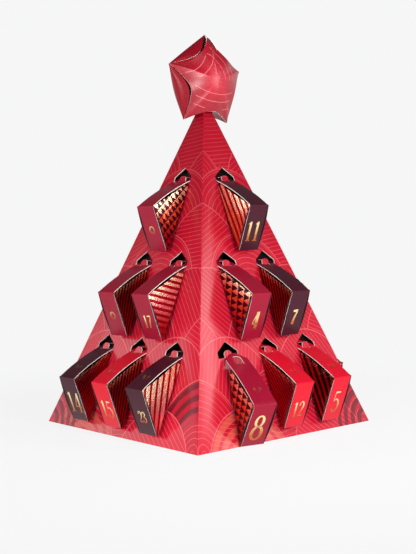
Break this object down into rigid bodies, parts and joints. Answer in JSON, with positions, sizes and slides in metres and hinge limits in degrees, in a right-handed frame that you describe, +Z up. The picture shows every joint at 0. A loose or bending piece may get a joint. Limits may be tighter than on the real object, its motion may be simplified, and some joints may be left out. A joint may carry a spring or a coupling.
{
  "type": "chocolate advent calendar",
  "caption": "Table-top advent calendar: a square card pyramid with a pillow star on its tip and numbered wedge boxes hooked on its four faces, a chocolate in each.",
  "frame": {"origin": "middle of the pyramid's square base, on the surface it stands on", "axes": "+Z up through the tip and the star; -Y is the outward side of the face wall_right, +X of wall_far_right, +Y of wall_far_left and -X of wall_left"},
  "size_m": [0.3508, 0.362, 0.5051],
  "materials": {
    "wall_card": "gloss",
    "base_board": "matte",
    "star_card": "gloss",
    "sleeve_aubergine": "satin",
    "sleeve_burgundy": "satin",
    "sleeve_red": "satin",
    "foil_tray": "gloss"
  },
  "bodies": {
    "pyramid": {"wall_right": "wall_card", "wall_far_right": "wall_card", "wall_far_left": "wall_card", "wall_left": "wall_card", "base_panel": "base_board", "brace_upper": "base_board", "brace_lower": "base_board"},
    "star": {"star_front": "star_card", "star_back": "star_card"},
    "tray_11": {"tray_11": "foil_tray"},
    "sleeve_11": {"sleeve_11": "sleeve_aubergine"},
    "tray_04": {"tray_04": "foil_tray"},
    "sleeve_04": {"sleeve_04": "sleeve_burgundy"},
    "tray_07": {"tray_07": "foil_tray"},
    "sleeve_07": {"sleeve_07": "sleeve_aubergine"},
    "tray_08": {"tray_08": "foil_tray"},
    "sleeve_08": {"sleeve_08": "sleeve_burgundy"},
    "tray_12": {"tray_12": "foil_tray"},
    "sleeve_12": {"sleeve_12": "sleeve_red"},
    "tray_05": {"tray_05": "foil_tray"},
    "sleeve_05": {"sleeve_05": "sleeve_red"},
    "tray_19": {"tray_19": "foil_tray"},
    "sleeve_19": {"sleeve_19": "sleeve_burgundy"},
    "tray_02": {"tray_02": "foil_tray"},
    "sleeve_02": {"sleeve_02": "sleeve_aubergine"},
    "tray_22": {"tray_22": "foil_tray"},
    "sleeve_22": {"sleeve_22": "sleeve_red"},
    "tray_06": {"tray_06": "foil_tray"},
    "sleeve_06": {"sleeve_06": "sleeve_red"},
    "tray_16": {"tray_16": "foil_tray"},
    "sleeve_16": {"sleeve_16": "sleeve_burgundy"},
    "tray_09": {"tray_09": "foil_tray"},
    "sleeve_09": {"sleeve_09": "sleeve_aubergine"},
    "tray_24": {"tray_24": "foil_tray"},
    "sleeve_24": {"sleeve_24": "sleeve_red"},
    "tray_10": {"tray_10": "foil_tray"},
    "sleeve_10": {"sleeve_10": "sleeve_red"},
    "tray_01": {"tray_01": "foil_tray"},
    "sleeve_01": {"sleeve_01": "sleeve_burgundy"},
    "tray_13": {"tray_13": "foil_tray"},
    "sleeve_13": {"sleeve_13": "sleeve_aubergine"},
    "tray_03": {"tray_03": "foil_tray"},
    "sleeve_03": {"sleeve_03": "sleeve_burgundy"},
    "tray_20": {"tray_20": "foil_tray"},
    "sleeve_20": {"sleeve_20": "sleeve_aubergine"},
    "tray_21": {"tray_21": "foil_tray"},
    "sleeve_21": {"sleeve_21": "sleeve_burgundy"},
    "tray_18": {"tray_18": "foil_tray"},
    "sleeve_18": {"sleeve_18": "sleeve_burgundy"},
    "tray_17": {"tray_17": "foil_tray"},
    "sleeve_17": {"sleeve_17": "sleeve_burgundy"},
    "tray_14": {"tray_14": "foil_tray"},
    "sleeve_14": {"sleeve_14": "sleeve_aubergine"},
    "tray_15": {"tray_15": "foil_tray"},
    "sleeve_15": {"sleeve_15": "sleeve_red"},
    "tray_23": {"tray_23": "foil_tray"},
    "sleeve_23": {"sleeve_23": "sleeve_aubergine"}
  },
  "joints": [
    {"name": "star_lift", "type": "slide", "parent": "pyramid", "child": "star", "axis": [0, 0, 1], "range_m": [0, 0.06]},
    {"name": "box_11_lift", "type": "slide", "parent": "pyramid", "child": "tray_11", "axis": [0, -0.9435, 0.3314], "range_m": [0, 0.08]},
    {"name": "sleeve_11_open", "type": "hinge", "parent": "tray_11", "child": "sleeve_11", "pos_m": [0, -0.08005, 0.22599], "axis": [1, 0, 0], "range_deg": [0, 75]},
    {"name": "box_04_lift", "type": "slide", "parent": "pyramid", "child": "tray_04", "axis": [0, -0.9435, 0.3314], "range_m": [0, 0.08]},
    {"name": "sleeve_04_open", "type": "hinge", "parent": "tray_04", "child": "sleeve_04", "pos_m": [-0.034, -0.1175, 0.11938], "axis": [1, 0, 0], "range_deg": [0, 75]},
    {"name": "box_07_lift", "type": "slide", "parent": "pyramid", "child": "tray_07", "axis": [0, -0.9435, 0.3314], "range_m": [0, 0.08]},
    {"name": "sleeve_07_open", "type": "hinge", "parent": "tray_07", "child": "sleeve_07", "pos_m": [0.034, -0.1175, 0.11938], "axis": [1, 0, 0], "range_deg": [0, 75]},
    {"name": "box_08_lift", "type": "slide", "parent": "pyramid", "child": "tray_08", "axis": [0, -1, 0], "range_m": [0, 0.08]},
    {"name": "sleeve_08_open", "type": "hinge", "parent": "tray_08", "child": "sleeve_08", "pos_m": [-0.06987, -0.15466, 0.00032], "axis": [0.9816, -0.1908, 0], "range_deg": [0, 55]},
    {"name": "box_12_lift", "type": "slide", "parent": "pyramid", "child": "tray_12", "axis": [0, -0.9435, 0.3314], "range_m": [0, 0.08]},
    {"name": "sleeve_12_open", "type": "hinge", "parent": "tray_12", "child": "sleeve_12", "pos_m": [0, -0.15496, 0.01277], "axis": [1, 0, 0], "range_deg": [0, 75]},
    {"name": "box_05_lift", "type": "slide", "parent": "pyramid", "child": "tray_05", "axis": [0, -0.9435, 0.3314], "range_m": [0, 0.08]},
    {"name": "sleeve_05_open", "type": "hinge", "parent": "tray_05", "child": "sleeve_05", "pos_m": [0.068, -0.15496, 0.01277], "axis": [1, 0, 0], "range_deg": [0, 75]},
    {"name": "box_19_lift", "type": "slide", "parent": "pyramid", "child": "tray_19", "axis": [0.9435, 0, 0.3314], "range_m": [0, 0.08]},
    {"name": "sleeve_19_open", "type": "hinge", "parent": "tray_19", "child": "sleeve_19", "pos_m": [0.08005, 0, 0.22599], "axis": [0, 1, 0], "range_deg": [0, 75]},
    {"name": "box_02_lift", "type": "slide", "parent": "pyramid", "child": "tray_02", "axis": [0.9435, 0, 0.3314], "range_m": [0, 0.08]},
    {"name": "sleeve_02_open", "type": "hinge", "parent": "tray_02", "child": "sleeve_02", "pos_m": [0.1175, -0.034, 0.11938], "axis": [0, 1, 0], "range_deg": [0, 75]},
    {"name": "box_22_lift", "type": "slide", "parent": "pyramid", "child": "tray_22", "axis": [0.9435, 0, 0.3314], "range_m": [0, 0.08]},
    {"name": "sleeve_22_open", "type": "hinge", "parent": "tray_22", "child": "sleeve_22", "pos_m": [0.1175, 0.034, 0.11938], "axis": [0, 1, 0], "range_deg": [0, 75]},
    {"name": "box_06_lift", "type": "slide", "parent": "pyramid", "child": "tray_06", "axis": [0.9435, 0, 0.3314], "range_m": [0, 0.08]},
    {"name": "sleeve_06_open", "type": "hinge", "parent": "tray_06", "child": "sleeve_06", "pos_m": [0.15496, -0.068, 0.01277], "axis": [0, 1, 0], "range_deg": [0, 75]},
    {"name": "box_16_lift", "type": "slide", "parent": "pyramid", "child": "tray_16", "axis": [0.9435, 0, 0.3314], "range_m": [0, 0.08]},
    {"name": "sleeve_16_open", "type": "hinge", "parent": "tray_16", "child": "sleeve_16", "pos_m": [0.15496, 0, 0.01277], "axis": [0, 1, 0], "range_deg": [0, 75]},
    {"name": "box_09_lift", "type": "slide", "parent": "pyramid", "child": "tray_09", "axis": [0.9435, 0, 0.3314], "range_m": [0, 0.08]},
    {"name": "sleeve_09_open", "type": "hinge", "parent": "tray_09", "child": "sleeve_09", "pos_m": [0.15496, 0.068, 0.01277], "axis": [0, 1, 0], "range_deg": [0, 75]},
    {"name": "box_24_lift", "type": "slide", "parent": "pyramid", "child": "tray_24", "axis": [0, 0.9435, 0.3314], "range_m": [0, 0.08]},
    {"name": "sleeve_24_open", "type": "hinge", "parent": "tray_24", "child": "sleeve_24", "pos_m": [0, 0.08005, 0.22599], "axis": [-1, 0, 0], "range_deg": [0, 75]},
    {"name": "box_10_lift", "type": "slide", "parent": "pyramid", "child": "tray_10", "axis": [0, 0.9435, 0.3314], "range_m": [0, 0.08]},
    {"name": "sleeve_10_open", "type": "hinge", "parent": "tray_10", "child": "sleeve_10", "pos_m": [0.034, 0.1175, 0.11938], "axis": [-1, 0, 0], "range_deg": [0, 75]},
    {"name": "box_01_lift", "type": "slide", "parent": "pyramid", "child": "tray_01", "axis": [0, 0.9435, 0.3314], "range_m": [0, 0.08]},
    {"name": "sleeve_01_open", "type": "hinge", "parent": "tray_01", "child": "sleeve_01", "pos_m": [-0.034, 0.1175, 0.11938], "axis": [-1, 0, 0], "range_deg": [0, 75]},
    {"name": "box_13_lift", "type": "slide", "parent": "pyramid", "child": "tray_13", "axis": [0, 0.9435, 0.3314], "range_m": [0, 0.08]},
    {"name": "sleeve_13_open", "type": "hinge", "parent": "tray_13", "child": "sleeve_13", "pos_m": [0.068, 0.15496, 0.01277], "axis": [-1, 0, 0], "range_deg": [0, 75]},
    {"name": "box_03_lift", "type": "slide", "parent": "pyramid", "child": "tray_03", "axis": [0, 0.9435, 0.3314], "range_m": [0, 0.08]},
    {"name": "sleeve_03_open", "type": "hinge", "parent": "tray_03", "child": "sleeve_03", "pos_m": [0, 0.15496, 0.01277], "axis": [-1, 0, 0], "range_deg": [0, 75]},
    {"name": "box_20_lift", "type": "slide", "parent": "pyramid", "child": "tray_20", "axis": [0, 0.9435, 0.3314], "range_m": [0, 0.08]},
    {"name": "sleeve_20_open", "type": "hinge", "parent": "tray_20", "child": "sleeve_20", "pos_m": [-0.068, 0.15496, 0.01277], "axis": [-1, 0, 0], "range_deg": [0, 75]},
    {"name": "box_21_lift", "type": "slide", "parent": "pyramid", "child": "tray_21", "axis": [-0.9435, 0, 0.3314], "range_m": [0, 0.08]},
    {"name": "sleeve_21_open", "type": "hinge", "parent": "tray_21", "child": "sleeve_21", "pos_m": [-0.08005, 0, 0.22599], "axis": [0, -1, 0], "range_deg": [0, 75]},
    {"name": "box_18_lift", "type": "slide", "parent": "pyramid", "child": "tray_18", "axis": [-0.9435, 0, 0.3314], "range_m": [0, 0.08]},
    {"name": "sleeve_18_open", "type": "hinge", "parent": "tray_18", "child": "sleeve_18", "pos_m": [-0.1175, 0.034, 0.11938], "axis": [0, -1, 0], "range_deg": [0, 75]},
    {"name": "box_17_lift", "type": "slide", "parent": "pyramid", "child": "tray_17", "axis": [-0.9435, 0, 0.3314], "range_m": [0, 0.08]},
    {"name": "sleeve_17_open", "type": "hinge", "parent": "tray_17", "child": "sleeve_17", "pos_m": [-0.1175, -0.034, 0.11938], "axis": [0, -1, 0], "range_deg": [0, 75]},
    {"name": "box_14_lift", "type": "slide", "parent": "pyramid", "child": "tray_14", "axis": [-0.9435, 0, 0.3314], "range_m": [0, 0.08]},
    {"name": "sleeve_14_open", "type": "hinge", "parent": "tray_14", "child": "sleeve_14", "pos_m": [-0.15496, 0.068, 0.01277], "axis": [0, -1, 0], "range_deg": [0, 75]},
    {"name": "box_15_lift", "type": "slide", "parent": "pyramid", "child": "tray_15", "axis": [-0.9435, 0, 0.3314], "range_m": [0, 0.08]},
    {"name": "sleeve_15_open", "type": "hinge", "parent": "tray_15", "child": "sleeve_15", "pos_m": [-0.15496, 0, 0.01277], "axis": [0, -1, 0], "range_deg": [0, 75]},
    {"name": "box_23_lift", "type": "slide", "parent": "pyramid", "child": "tray_23", "axis": [-0.9435, 0, 0.3314], "range_m": [0, 0.08]},
    {"name": "sleeve_23_open", "type": "hinge", "parent": "tray_23", "child": "sleeve_23", "pos_m": [-0.15496, -0.068, 0.01277], "axis": [0, -1, 0], "range_deg": [0, 75]}
  ]
}
